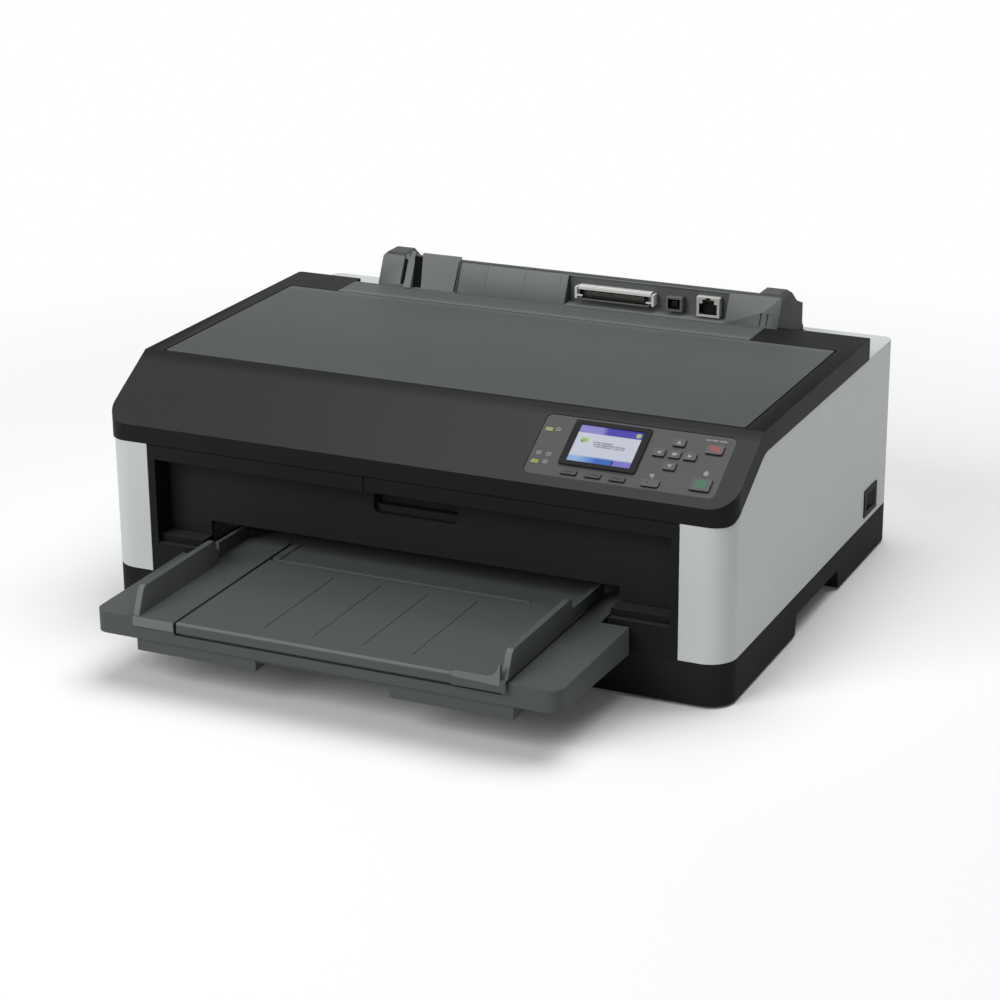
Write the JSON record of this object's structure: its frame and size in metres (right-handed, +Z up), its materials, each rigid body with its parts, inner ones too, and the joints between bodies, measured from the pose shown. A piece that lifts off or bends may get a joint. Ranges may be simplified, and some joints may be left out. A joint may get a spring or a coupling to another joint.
{
  "type": "dot matrix printer",
  "caption": "Desktop flatbed impact printer with hinged lid, front feed tray with edge guides, sloped control panel with display, and rear sheet guide with sockets.",
  "frame": {"origin": "middle of the overall box, on the surface the feet stand on", "axes": "+Z up, -Y towards the front tray, +X to the right seen from the front"},
  "size_m": [0.4849, 0.4848, 0.2065],
  "materials": {
    "case_dark": "fine grain, charcoal",
    "slate_plastic": "fine grain, slate grey",
    "guide_plastic": "fine grain, lighter slate grey",
    "light_plastic": "fine grain, light cool grey",
    "black_plastic": "fine grain, black",
    "panel_plastic": "smooth, mid grey",
    "key_plastic": "smooth, grey",
    "key_red": "smooth, dull red",
    "key_green": "smooth, dull green",
    "bezel_gloss": "polished black",
    "screen": "lit display",
    "lens": "clear yellow-green lens",
    "rubber": "matte",
    "steel_sheet": "zinc-plated sheet",
    "steel_bar": "ground and polished",
    "socket_steel": "nickel-plated",
    "gear_plastic": "natural moulded plastic",
    "head_metal": "cast, with black anodised fins",
    "motor_steel": "painted can",
    "board_green": "solder mask",
    "brass": "turned"
  },
  "bodies": {
    "chassis": {"lower_case": "black_plastic", "feet": "rubber", "side_panel_left": "light_plastic", "side_panel_right": "light_plastic", "rear_panel": "light_plastic", "upper_case": "case_dark", "rear_strip": "slate_plastic", "front_frame": "black_plastic", "control_panel": "panel_plastic", "lcd_bezel": "bezel_gloss", "lcd_screen": "screen", "led_lenses": "lens", "rear_guide": "guide_plastic", "parallel_port": "socket_steel", "usb_port": "socket_steel", "lan_port": "socket_steel", "switch_bezel": "black_plastic", "chassis_plate": "steel_sheet", "frame_left": "steel_sheet", "frame_right": "steel_sheet", "carriage_shaft": "steel_bar", "carriage_rail": "steel_sheet", "ribbon_cartridge": "black_plastic", "drive_belt": "rubber", "carriage_motor": "motor_steel", "platen": "case_dark", "feed_motor": "motor_steel", "main_board": "board_green", "power_supply": "steel_sheet", "screws": "steel_bar"},
    "lid": {"lid": "slate_plastic"},
    "front_cover": {"front_cover": "black_plastic"},
    "tray": {"tray_base": "slate_plastic", "tray_table": "slate_plastic"},
    "edge_guide_left": {"edge_guide_left": "slate_plastic"},
    "edge_guide_right": {"edge_guide_right": "slate_plastic"},
    "rear_edge_guide": {"rear_edge_guide": "guide_plastic"},
    "power_rocker": {"power_rocker": "bezel_gloss"},
    "carriage": {"carriage": "black_plastic", "print_head": "head_metal"},
    "ribbon_knob": {"ribbon_knob": "gear_plastic"},
    "motor_pulley": {"motor_pulley": "gear_plastic"},
    "idler_pulley": {"idler_pulley": "gear_plastic"},
    "feed_roller_front": {"feed_roller_front": "rubber"},
    "feed_roller_rear": {"feed_roller_rear": "rubber"},
    "pinch_roller_front": {"pinch_roller_front": "gear_plastic"},
    "pinch_roller_rear": {"pinch_roller_rear": "gear_plastic"},
    "idler_gear": {"idler_gear": "gear_plastic"},
    "motor_pinion": {"motor_pinion": "brass"},
    "button_up": {"button_up": "key_plastic"},
    "button_down": {"button_down": "key_plastic"},
    "button_left": {"button_left": "key_plastic"},
    "button_right": {"button_right": "key_plastic"},
    "button_ok": {"button_ok": "key_plastic"},
    "button_stop": {"button_stop": "key_red"},
    "button_start": {"button_start": "key_green"},
    "button_back": {"button_back": "panel_plastic"},
    "button_f1": {"button_f1": "case_dark"},
    "button_f2": {"button_f2": "case_dark"},
    "button_f3": {"button_f3": "case_dark"}
  },
  "joints": [
    {"name": "lid_hinge", "type": "hinge", "parent": "chassis", "child": "lid", "pos_m": [0, 0.12505, 0.1764], "axis": [-1, 0, 0], "range_deg": [0, 100]},
    {"name": "front_cover_hinge", "type": "hinge", "parent": "chassis", "child": "front_cover", "pos_m": [0, -0.09635, 0.0644], "axis": [1, 0, 0], "range_deg": [0, 55]},
    {"name": "tray_slide", "type": "slide", "parent": "chassis", "child": "tray", "axis": [0, -1, 0], "range_m": [0, 0.06]},
    {"name": "edge_guide_left_slide", "type": "slide", "parent": "tray", "child": "edge_guide_left", "axis": [-1, 0, 0], "range_m": [0, 0.01]},
    {"name": "edge_guide_right_slide", "type": "slide", "parent": "tray", "child": "edge_guide_right", "axis": [-1, 0, 0], "range_m": [-0.012, 0.18]},
    {"name": "rear_edge_guide_slide", "type": "slide", "parent": "chassis", "child": "rear_edge_guide", "axis": [1, 0, 0], "range_m": [-0.006, 0.08]},
    {"name": "power_rocker_swing", "type": "hinge", "parent": "chassis", "child": "power_rocker", "pos_m": [0.2374, 0.19645, 0.0485], "axis": [0, 0, 1], "range_deg": [0, 16]},
    {"name": "carriage_slide", "type": "slide", "parent": "chassis", "child": "carriage", "axis": [1, 0, 0], "range_m": [-0.157, 0.157]},
    {"name": "motor_pulley_spin", "type": "hinge", "parent": "chassis", "child": "motor_pulley", "pos_m": [-0.175, 0.08775, 0.108], "axis": [0, 0, 1], "continuous": true},
    {"name": "idler_pulley_spin", "type": "hinge", "parent": "chassis", "child": "idler_pulley", "pos_m": [0.175, 0.08775, 0.108], "axis": [0, 0, 1], "continuous": true},
    {"name": "ribbon_knob_spin", "type": "hinge", "parent": "chassis", "child": "ribbon_knob", "pos_m": [-0.15, -0.02855, 0.135], "axis": [0, 0, 1], "continuous": true},
    {"name": "feed_roller_front_spin", "type": "hinge", "parent": "chassis", "child": "feed_roller_front", "pos_m": [0, -0.02655, 0.045], "axis": [1, 0, 0], "continuous": true},
    {"name": "feed_roller_rear_spin", "type": "hinge", "parent": "chassis", "child": "feed_roller_rear", "pos_m": [0, 0.07245, 0.045], "axis": [1, 0, 0], "continuous": true},
    {"name": "pinch_roller_front_spin", "type": "hinge", "parent": "chassis", "child": "pinch_roller_front", "pos_m": [0, -0.02655, 0.0583], "axis": [1, 0, 0], "continuous": true},
    {"name": "pinch_roller_rear_spin", "type": "hinge", "parent": "chassis", "child": "pinch_roller_rear", "pos_m": [0, 0.07245, 0.0583], "axis": [1, 0, 0], "continuous": true},
    {"name": "idler_gear_spin", "type": "hinge", "parent": "chassis", "child": "idler_gear", "pos_m": [0.207, 0.02295, 0.045], "axis": [1, 0, 0], "continuous": true},
    {"name": "motor_pinion_spin", "type": "hinge", "parent": "chassis", "child": "motor_pinion", "pos_m": [0.207, -0.00198, 0.07691], "axis": [1, 0, 0], "continuous": true},
    {"name": "button_up_press", "type": "slide", "parent": "chassis", "child": "button_up", "axis": [0, 0.5125, -0.8587], "range_m": [0, 0.0008], "stiffness_N_per_m": 600},
    {"name": "button_down_press", "type": "slide", "parent": "chassis", "child": "button_down", "axis": [0, 0.5125, -0.8587], "range_m": [0, 0.0008], "stiffness_N_per_m": 600},
    {"name": "button_left_press", "type": "slide", "parent": "chassis", "child": "button_left", "axis": [0, 0.5125, -0.8587], "range_m": [0, 0.0008], "stiffness_N_per_m": 600},
    {"name": "button_right_press", "type": "slide", "parent": "chassis", "child": "button_right", "axis": [0, 0.5125, -0.8587], "range_m": [0, 0.0008], "stiffness_N_per_m": 600},
    {"name": "button_ok_press", "type": "slide", "parent": "chassis", "child": "button_ok", "axis": [0, 0.5125, -0.8587], "range_m": [0, 0.0008], "stiffness_N_per_m": 600},
    {"name": "button_stop_press", "type": "slide", "parent": "chassis", "child": "button_stop", "axis": [0, 0.5125, -0.8587], "range_m": [0, 0.0008], "stiffness_N_per_m": 600},
    {"name": "button_start_press", "type": "slide", "parent": "chassis", "child": "button_start", "axis": [0, 0.5125, -0.8587], "range_m": [0, 0.0008], "stiffness_N_per_m": 600},
    {"name": "button_back_press", "type": "slide", "parent": "chassis", "child": "button_back", "axis": [0, 0.5125, -0.8587], "range_m": [0, 0.0008], "stiffness_N_per_m": 600},
    {"name": "button_f1_press", "type": "slide", "parent": "chassis", "child": "button_f1", "axis": [0, 0.5125, -0.8587], "range_m": [0, 0.0008], "stiffness_N_per_m": 600},
    {"name": "button_f2_press", "type": "slide", "parent": "chassis", "child": "button_f2", "axis": [0, 0.5125, -0.8587], "range_m": [0, 0.0008], "stiffness_N_per_m": 600},
    {"name": "button_f3_press", "type": "slide", "parent": "chassis", "child": "button_f3", "axis": [0, 0.5125, -0.8587], "range_m": [0, 0.0008], "stiffness_N_per_m": 600}
  ],
  "couplings": [
    {"joint": "motor_pulley_spin", "follows": "carriage_slide", "rad_per_m": 111.11},
    {"joint": "idler_pulley_spin", "follows": "carriage_slide", "rad_per_m": 111.11},
    {"joint": "feed_roller_rear_spin", "follows": "feed_roller_front_spin", "ratio": 1},
    {"joint": "idler_gear_spin", "follows": "feed_roller_front_spin", "ratio": -0.57143},
    {"joint": "motor_pinion_spin", "follows": "feed_roller_front_spin", "ratio": 2},
    {"joint": "pinch_roller_front_spin", "follows": "feed_roller_front_spin", "ratio": -1.6},
    {"joint": "pinch_roller_rear_spin", "follows": "feed_roller_front_spin", "ratio": -1.6}
  ]
}
